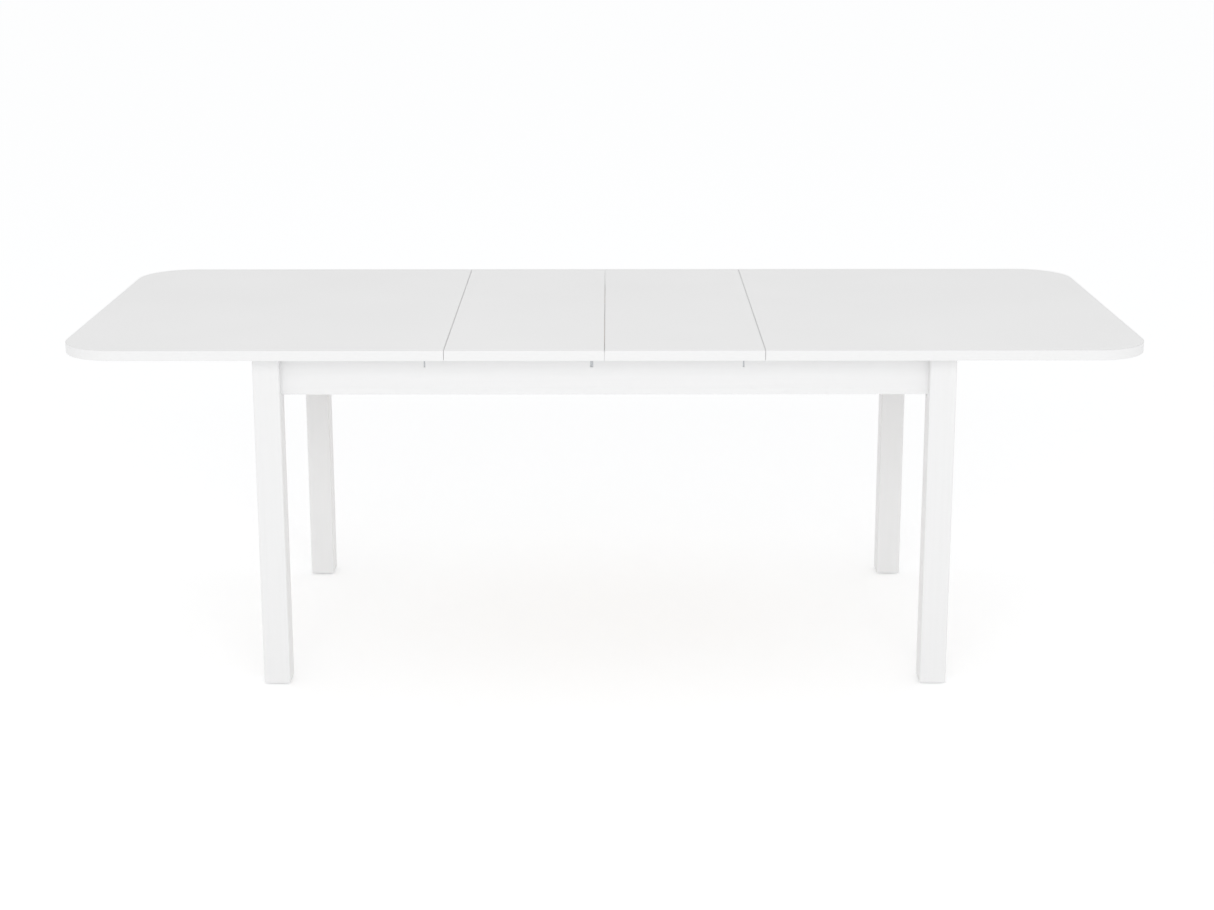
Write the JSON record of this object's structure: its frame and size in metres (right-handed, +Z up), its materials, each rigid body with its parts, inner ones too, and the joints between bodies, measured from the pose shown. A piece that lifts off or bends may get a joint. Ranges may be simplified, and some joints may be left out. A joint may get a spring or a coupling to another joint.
{
  "type": "extendable dining table",
  "caption": "White rectangular dining table with rounded corners, square legs and aprons, drawn extended: half tops that slide apart on runners, with lift-out leaves between them.",
  "frame": {"origin": "on the floor, under the middle of the fully extended table", "axes": "+X along the length to the right, -Y towards the front long side, +Z up"},
  "size_m": [2.26, 0.9, 0.755],
  "materials": {
    "white_board": "white melamine-faced particle board, satin",
    "white_edging": "white plastic edging strip, satin",
    "white_lacquer": "white lacquer, satin",
    "beech": "planed beech, unlacquered",
    "zinc_steel": "zinc-plated steel",
    "glide_plastic": "moulded light grey plastic"
  },
  "bodies": {
    "root": {"batten_angles": "zinc_steel", "batten_screws": "zinc_steel", "bracket_screws": "zinc_steel", "corner_bracket_back_left": "zinc_steel", "corner_bracket_back_right": "zinc_steel", "corner_bracket_front_left": "zinc_steel", "corner_bracket_front_right": "zinc_steel", "foot_glide_back_left": "glide_plastic", "foot_glide_back_right": "glide_plastic", "foot_glide_front_left": "glide_plastic", "foot_glide_front_right": "glide_plastic", "guide_screws": "zinc_steel", "leg_back_left": "white_lacquer", "leg_back_right": "white_lacquer", "leg_bolts": "zinc_steel", "leg_front_left": "white_lacquer", "leg_front_right": "white_lacquer", "leg_nuts": "zinc_steel", "leg_washers": "zinc_steel", "long_apron_back": "white_lacquer", "long_apron_front": "white_lacquer", "runner_guide_back_centre_left": "zinc_steel", "runner_guide_back_centre_right": "zinc_steel", "runner_guide_back_left": "zinc_steel", "runner_guide_back_right": "zinc_steel", "runner_guide_front_centre_left": "zinc_steel", "runner_guide_front_centre_right": "zinc_steel", "runner_guide_front_left": "zinc_steel", "runner_guide_front_right": "zinc_steel", "short_apron_left": "white_lacquer", "short_apron_right": "white_lacquer", "storage_batten_centre": "beech", "storage_batten_left": "beech", "storage_batten_right": "beech"},
    "left_top": {"left_runner_back": "beech", "left_runner_front": "beech", "left_runner_screws": "zinc_steel", "left_stop_blocks": "beech", "left_stop_screws": "zinc_steel", "left_top_edging": "white_edging", "left_top_panel": "white_board"},
    "right_top": {"right_runner_back": "beech", "right_runner_front": "beech", "right_runner_screws": "zinc_steel", "right_stop_blocks": "beech", "right_stop_screws": "zinc_steel", "right_top_edging": "white_edging", "right_top_panel": "white_board"},
    "left_leaf": {"left_leaf_batten_back": "beech", "left_leaf_batten_front": "beech", "left_leaf_edging": "white_edging", "left_leaf_panel": "white_board", "left_leaf_screws": "zinc_steel"},
    "right_leaf": {"right_leaf_batten_back": "beech", "right_leaf_batten_front": "beech", "right_leaf_edging": "white_edging", "right_leaf_panel": "white_board", "right_leaf_screws": "zinc_steel"}
  },
  "joints": [
    {"name": "left_top_slide", "type": "slide", "parent": "root", "child": "left_top", "axis": [-1, 0, 0], "range_m": [0, 0.04]},
    {"name": "right_top_slide", "type": "slide", "parent": "root", "child": "right_top", "axis": [1, 0, 0], "range_m": [0, 0.04]},
    {"name": "left_leaf_lift", "type": "slide", "parent": "root", "child": "left_leaf", "axis": [0, 0, 1], "range_m": [0, 0.25]},
    {"name": "right_leaf_lift", "type": "slide", "parent": "root", "child": "right_leaf", "axis": [0, 0, 1], "range_m": [0, 0.25]}
  ]
}
